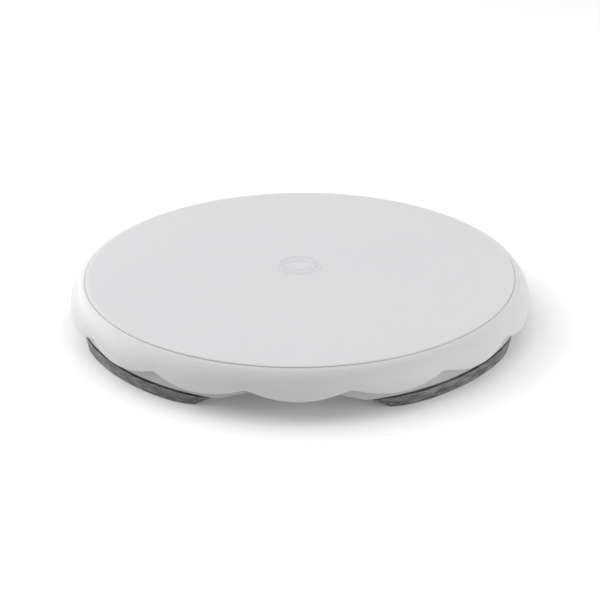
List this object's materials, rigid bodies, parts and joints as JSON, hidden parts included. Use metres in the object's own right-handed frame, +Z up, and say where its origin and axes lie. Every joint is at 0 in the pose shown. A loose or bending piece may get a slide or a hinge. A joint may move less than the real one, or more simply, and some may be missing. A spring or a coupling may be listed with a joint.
{
  "type": "cake turntable",
  "caption": "Low round cake turntable: a flat plate with a scalloped skirt turns on a ball race over a base with rubber feet and finger gaps.",
  "frame": {"origin": "on the floor, on the spin axis, in the middle of the four feet", "axes": "+Z up along the spin axis, -Y towards the front, where a gap between two feet faces the user"},
  "size_m": [0.3046, 0.3046, 0.0305],
  "materials": {
    "plate_white": "gloss skirt, satin top",
    "base_white": "moulded satin",
    "foot_rubber": "matte with fine streaks",
    "race_steel": "turned",
    "ball_steel": "polished",
    "acetal": "moulded",
    "cap_grey": "moulded satin"
  },
  "bodies": {
    "base": {"base_shell": "base_white", "lower_race": "race_steel", "pivot_bush": "acetal", "bottom_cap": "cap_grey", "foot_front_left": "foot_rubber", "foot_front_right": "foot_rubber", "foot_rear_left": "foot_rubber", "foot_rear_right": "foot_rubber"},
    "plate": {"turntable_plate": "plate_white", "upper_race": "race_steel", "retaining_washer": "race_steel", "hub_screw": "race_steel"},
    "cage": {"ball_cage": "acetal"},
    "ball_01": {"ball_01": "ball_steel"},
    "ball_02": {"ball_02": "ball_steel"},
    "ball_03": {"ball_03": "ball_steel"},
    "ball_04": {"ball_04": "ball_steel"},
    "ball_05": {"ball_05": "ball_steel"},
    "ball_06": {"ball_06": "ball_steel"},
    "ball_07": {"ball_07": "ball_steel"},
    "ball_08": {"ball_08": "ball_steel"},
    "ball_09": {"ball_09": "ball_steel"},
    "ball_10": {"ball_10": "ball_steel"},
    "ball_11": {"ball_11": "ball_steel"},
    "ball_12": {"ball_12": "ball_steel"}
  },
  "joints": [
    {"name": "plate_spin", "type": "hinge", "parent": "base", "child": "plate", "pos_m": [0, 0, 0.023], "axis": [0, 0, 1], "continuous": true},
    {"name": "cage_spin", "type": "hinge", "parent": "base", "child": "cage", "pos_m": [0, 0, 0.023], "axis": [0, 0, 1], "continuous": true},
    {"name": "ball_01_roll", "type": "hinge", "parent": "cage", "child": "ball_01", "pos_m": [0, -0.06, 0.023], "axis": [0, -1, 0], "continuous": true},
    {"name": "ball_02_roll", "type": "hinge", "parent": "cage", "child": "ball_02", "pos_m": [0.03, -0.05196, 0.023], "axis": [0.5, -0.866, 0], "continuous": true},
    {"name": "ball_03_roll", "type": "hinge", "parent": "cage", "child": "ball_03", "pos_m": [0.05196, -0.03, 0.023], "axis": [0.866, -0.5, 0], "continuous": true},
    {"name": "ball_04_roll", "type": "hinge", "parent": "cage", "child": "ball_04", "pos_m": [0.06, 0, 0.023], "axis": [1, 0, 0], "continuous": true},
    {"name": "ball_05_roll", "type": "hinge", "parent": "cage", "child": "ball_05", "pos_m": [0.05196, 0.03, 0.023], "axis": [0.866, 0.5, 0], "continuous": true},
    {"name": "ball_06_roll", "type": "hinge", "parent": "cage", "child": "ball_06", "pos_m": [0.03, 0.05196, 0.023], "axis": [0.5, 0.866, 0], "continuous": true},
    {"name": "ball_07_roll", "type": "hinge", "parent": "cage", "child": "ball_07", "pos_m": [0, 0.06, 0.023], "axis": [0, 1, 0], "continuous": true},
    {"name": "ball_08_roll", "type": "hinge", "parent": "cage", "child": "ball_08", "pos_m": [-0.03, 0.05196, 0.023], "axis": [-0.5, 0.866, 0], "continuous": true},
    {"name": "ball_09_roll", "type": "hinge", "parent": "cage", "child": "ball_09", "pos_m": [-0.05196, 0.03, 0.023], "axis": [-0.866, 0.5, 0], "continuous": true},
    {"name": "ball_10_roll", "type": "hinge", "parent": "cage", "child": "ball_10", "pos_m": [-0.06, 0, 0.023], "axis": [-1, 0, 0], "continuous": true},
    {"name": "ball_11_roll", "type": "hinge", "parent": "cage", "child": "ball_11", "pos_m": [-0.05196, -0.03, 0.023], "axis": [-0.866, -0.5, 0], "continuous": true},
    {"name": "ball_12_roll", "type": "hinge", "parent": "cage", "child": "ball_12", "pos_m": [-0.03, -0.05196, 0.023], "axis": [-0.5, -0.866, 0], "continuous": true}
  ],
  "couplings": [
    {"joint": "cage_spin", "follows": "plate_spin", "ratio": 0.5},
    {"joint": "ball_01_roll", "follows": "plate_spin", "ratio": -10},
    {"joint": "ball_02_roll", "follows": "plate_spin", "ratio": -10},
    {"joint": "ball_03_roll", "follows": "plate_spin", "ratio": -10},
    {"joint": "ball_04_roll", "follows": "plate_spin", "ratio": -10},
    {"joint": "ball_05_roll", "follows": "plate_spin", "ratio": -10},
    {"joint": "ball_06_roll", "follows": "plate_spin", "ratio": -10},
    {"joint": "ball_07_roll", "follows": "plate_spin", "ratio": -10},
    {"joint": "ball_08_roll", "follows": "plate_spin", "ratio": -10},
    {"joint": "ball_09_roll", "follows": "plate_spin", "ratio": -10},
    {"joint": "ball_10_roll", "follows": "plate_spin", "ratio": -10},
    {"joint": "ball_11_roll", "follows": "plate_spin", "ratio": -10},
    {"joint": "ball_12_roll", "follows": "plate_spin", "ratio": -10}
  ]
}
